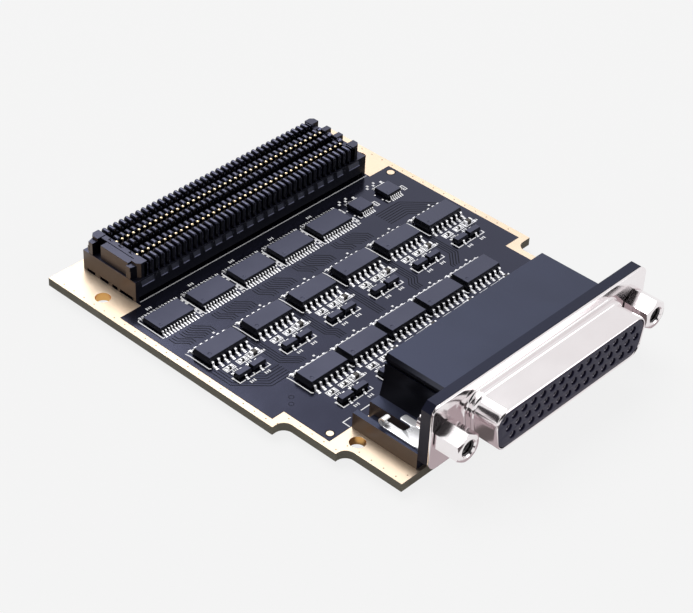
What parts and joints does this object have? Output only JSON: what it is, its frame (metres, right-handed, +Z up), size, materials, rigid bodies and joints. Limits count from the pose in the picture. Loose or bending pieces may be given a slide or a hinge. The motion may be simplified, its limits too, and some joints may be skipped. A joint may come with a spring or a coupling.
{
  "type": "serial communication module",
  "caption": "Stepped circuit board with a mezzanine connector at the back, rows of driver chips and a right-angle high density socket port at the front.",
  "frame": {"origin": "centre of the bounding box at its base, which is the level of the pin tails under the board", "axes": "+X along both connectors, +Y from the port to the mezzanine connector, +Z up from the populated side"},
  "size_m": [0.069, 0.0844, 0.0159],
  "materials": {
    "plated_board": "satin",
    "mask": "satin",
    "moulding": "satin",
    "port_moulding": "matte",
    "insulator": "matte",
    "nickel": "satin",
    "tin": "satin",
    "gold": "gloss",
    "chip": "matte",
    "resistor": "matte",
    "ceramic": "matte"
  },
  "bodies": {
    "root": {"circuit_board": "plated_board", "solder_mask": "mask", "mezzanine_housing": "moulding", "mezzanine_contacts_1": "gold", "mezzanine_contacts_2": "gold", "mezzanine_contacts_3": "gold", "mezzanine_contacts_4": "gold", "thin_driver_body_1": "chip", "thin_driver_leads_1": "tin", "thin_driver_body_2": "chip", "thin_driver_leads_2": "tin", "thin_driver_body_3": "chip", "thin_driver_leads_3": "tin", "thin_driver_body_4": "chip", "thin_driver_leads_4": "tin", "thin_driver_body_5": "chip", "thin_driver_leads_5": "tin", "small_chip_body_1": "chip", "small_chip_leads_1": "tin", "small_chip_body_2": "chip", "small_chip_leads_2": "tin", "line_driver_body_1": "chip", "line_driver_leads_1": "tin", "line_driver_body_2": "chip", "line_driver_leads_2": "tin", "line_driver_body_3": "chip", "line_driver_leads_3": "tin", "line_driver_body_4": "chip", "line_driver_leads_4": "tin", "line_driver_body_5": "chip", "line_driver_leads_5": "tin", "line_driver_body_6": "chip", "line_driver_leads_6": "tin", "line_driver_body_7": "chip", "line_driver_leads_7": "tin", "line_driver_body_8": "chip", "line_driver_leads_8": "tin", "line_driver_body_9": "chip", "line_driver_leads_9": "tin", "line_driver_body_10": "chip", "line_driver_leads_10": "tin", "line_driver_body_11": "chip", "line_driver_leads_11": "tin", "transistor_bodies": "chip", "transistor_leads": "tin", "chip_resistors": "resistor", "chip_capacitors": "ceramic", "rear_housing": "port_moulding", "front_shell": "nickel", "socket_insulator": "insulator", "socket_pins": "tin", "jackscrew_left": "nickel", "jackscrew_right": "nickel", "ground_bracket_left": "tin", "ground_bracket_right": "tin"}
  },
  "joints": []
}
